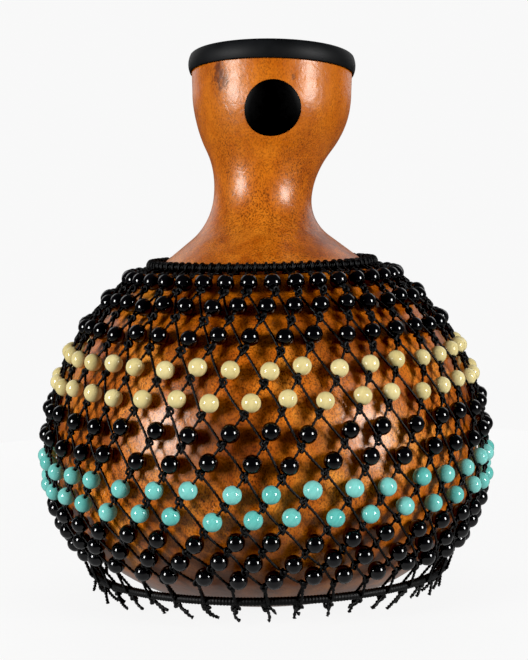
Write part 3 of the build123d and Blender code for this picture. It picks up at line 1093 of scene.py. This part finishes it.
# %% Bead form
bead_radius = 5.0
bead_sides = 18
bead_spin = (0, 6.28)  # radians about the thread
bead_sizes = (0.975, 1.015)
bead_tints = (0.0, 0.45)
hole_radius = 1.0
hole_ease = 0.35  # the edge of the hole is broken by this
hole_mouth = bead_radius * 0.93
hole_inside = bead_radius * 0.6
rim_angle = math.degrees(math.acos((hole_radius + hole_ease) / bead_radius))
bead_outline = [(hole_radius, hole_inside), (hole_radius, hole_mouth)]
bead_outline += arc(0, 0, bead_radius, rim_angle, -rim_angle, 14)
bead_outline += [(hole_radius, -hole_mouth), (hole_radius, -hole_inside)]
bead_turns = np.linspace(0, 2 * math.pi, bead_sides, endpoint=False)
bead_corners = np.array(
    [(out * math.cos(a), out * math.sin(a), up) for out, up in bead_outline for a in bead_turns]
)
bead_faces = turned_ring(len(bead_outline), bead_sides)
print(f"bead: {len(bead_corners)} corners, {len(bead_faces)} faces")


def bead_row(row):
    """All beads of a row in one mesh, each threaded along its own strand."""
    shape = Shape()
    grains = []
    tints = []
    for centre, along, low, high in threads[row]:
        turn = along.to_track_quat("Z", "Y").to_matrix()
        turn = turn @ Matrix.Rotation(chance.uniform(*bead_spin), 3, "Z")
        size = chance.uniform(*bead_sizes)
        shape.add(bead_corners * size * MM @ np.array(turn).T + np.array(centre), bead_faces)
        grains.append(bead_corners * MM + np.array([chance.uniform(0, 1) for _ in range(3)]))
        tints += [chance.uniform(*bead_tints)] * len(bead_corners)
    finish, slot = row_finish[row]
    made = shape.piece(f"beads_{row:02d}", finish)
    grain = made.data.attributes.new("grain", "FLOAT_VECTOR", "POINT")
    grain.data.foreach_set("vector", np.vstack(grains).reshape(-1))
    tint = made.data.attributes.new("tint", "FLOAT", "POINT")
    tint.data.foreach_set("value", tints)
    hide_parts(f"bead_row_{row:02d}")
    return made


# %% [markdown]
# Each row rides on its own body, because the rows turn by different amounts when the net is twisted.
# The first row hangs so close to the collar that it stays with the gourd, and the last turns with the hem.

# %% Bead rows
for row in range(1, row_count + 1):
    body = "gourd" if row == 1 else "net_hem" if row == row_count else f"row_{row:02d}"
    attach(bead_row(row), body)

# %% [markdown]
# ## Table, light and camera
# The photograph is a catalogue picture: a white studio, two soft lamps left and right of the lens, and
# little else to reflect. A table of white paper would flood the gourd from below. So this sheet takes up
# most of the lamps' light and glows by itself: evenly where it is seen directly, and more weakly for
# what it throws on the object, in a pool of light round the gourd. The surroundings work the same way.

# %% Table
table_radius = 550 * MM
table_sides = 96
table_turns = np.linspace(0, 2 * math.pi, table_sides, endpoint=False)
table = Shape()
table.add(
    [(table_radius * math.cos(a), table_radius * math.sin(a), 0.0) for a in table_turns],
    [tuple(range(table_sides))],
)
paper, tree, shader = new_material(
    "paper_pale_matt", IOR=1.3, Roughness=0.9, Emission_Color=linear("#ffffff")
)
place = add_node(tree, "TexCoord").outputs["Object"]
tooth_stops = [(0.3, linear("#464645")), (0.7, linear("#4a4a49"))]
tooth = add_node(tree, "TexNoise", {"Scale": per_mm(3), "Detail": 3.0}, {"Vector": place})
tooth_colour = add_node(tree, "ValToRGB", {}, {"Fac": tooth.outputs["Fac"]}, tooth_stops)
tree.links.new(tooth_colour.outputs["Color"], shader.inputs["Base Color"])
pool_span = {"From Min": 160 * MM, "From Max": 340 * MM, "interpolation_type": "SMOOTHSTEP"}
pool_glow = {"To Min": 0.38, "To Max": 0.1}
table_seen = 0.885
away = add_node(tree, "VectorMath", {"operation": "LENGTH"}, {0: place}).outputs["Value"]
pool = add_node(tree, "MapRange", {**pool_span, **pool_glow}, {"Value": away}).outputs[0]
direct = add_node(tree, "LightPath").outputs["Is Camera Ray"]
glow = add_node(tree, "Mix", {"data_type": "FLOAT", 3: table_seen}, {0: direct, 2: pool})
tree.links.new(glow.outputs[0], shader.inputs["Emission Strength"])
table.piece("table", paper)

# %% Surroundings and view
sky_glow = 0.07
sky_seen = 0.975
black_point = 0.0034  # the darkest tones of the photograph are pressed down to black
world = bpy.data.worlds.new("studio")
bpy.context.scene.world = world
world.use_nodes = True
tree = world.node_tree
sky = tree.nodes["Background"]
direct = add_node(tree, "LightPath").outputs["Is Camera Ray"]
glow = add_node(tree, "MapRange", {"To Min": sky_glow, "To Max": sky_seen}, {"Value": direct})
tree.links.new(glow.outputs[0], sky.inputs["Strength"])
sky.inputs["Color"].default_value = linear("#fbfbfb")
view = bpy.context.scene.view_settings
view.view_transform = "Standard"
view.use_curve_mapping = True
view.curve_mapping.black_level = (black_point,) * 3
view.curve_mapping.update()
print(f"surroundings: {sky_glow} as light, {sky_seen} where they are seen, black point {black_point}")

# %% [markdown]
# The softboxes stand 55 degrees to each side: on a ball that puts the two white spots a little under
# halfway out. Two large, dim lamps behind stand for the studio's walls and draw the edges of the gourd.
# The fill lamp at the back keeps the far side readable. Glossy pieces don't mirror it, because it would
# lay a pale sheen over the foot of the neck.

# %% Lamps
lit_middle = Vector((0, 0, 150 * MM))


def lamp(name, azimuth, elevation, distance, size, power, mirrored=True):
    """A lamp that faces the object. Azimuth 0 is the camera's side. Distance and size are in metres."""
    light = bpy.data.lights.new(name, "AREA")
    light.shape = "RECTANGLE"
    light.size, light.size_y = size
    light.energy = power
    made = bpy.data.objects.new(name, light)
    a, e = math.radians(azimuth), math.radians(elevation)
    way = Vector((math.sin(a) * math.cos(e), -math.cos(a) * math.cos(e), math.sin(e)))
    made.location = lit_middle + way * distance
    made.rotation_euler = (-way).to_track_quat("-Z", "Y").to_euler()
    made.visible_camera = False
    made.visible_glossy = mirrored
    bpy.context.collection.objects.link(made)
    print(f"{name}: {power} W")


lamp("softbox_left", -55, 11, 1.5, (0.40, 0.55), 22.5)
lamp("softbox_right", 55, 11, 1.5, (0.40, 0.55), 22.5)
lamp("wall_left", -145, 22, 2.2, (1.2, 1.2), 4)
lamp("wall_right", 145, 22, 2.2, (1.2, 1.2), 4)
lamp("fill_back", 180, 30, 2.2, (2.0, 1.2), 26, mirrored=False)

# %% Camera
camera_place = Vector((0.1, -775.9, 226.8)) * MM
look_down = 5.5
lens_roll = 1.27
camera = bpy.data.cameras.new("camera")
camera.lens = 70.9
camera.sensor_width = 36.0
camera.clip_end = 100
viewer = bpy.data.objects.new("camera", camera)
aim = Matrix.Rotation(math.radians(90 - look_down), 4, "X")
aim = aim @ Matrix.Rotation(math.radians(-lens_roll), 4, "Z")
viewer.matrix_world = Matrix.Translation(camera_place) @ aim
bpy.context.collection.objects.link(viewer)
bpy.context.scene.camera = viewer
print(f"camera: {camera.lens:.1f} mm lens, {-camera_place.y:.3f} m in front of the gourd's axis")
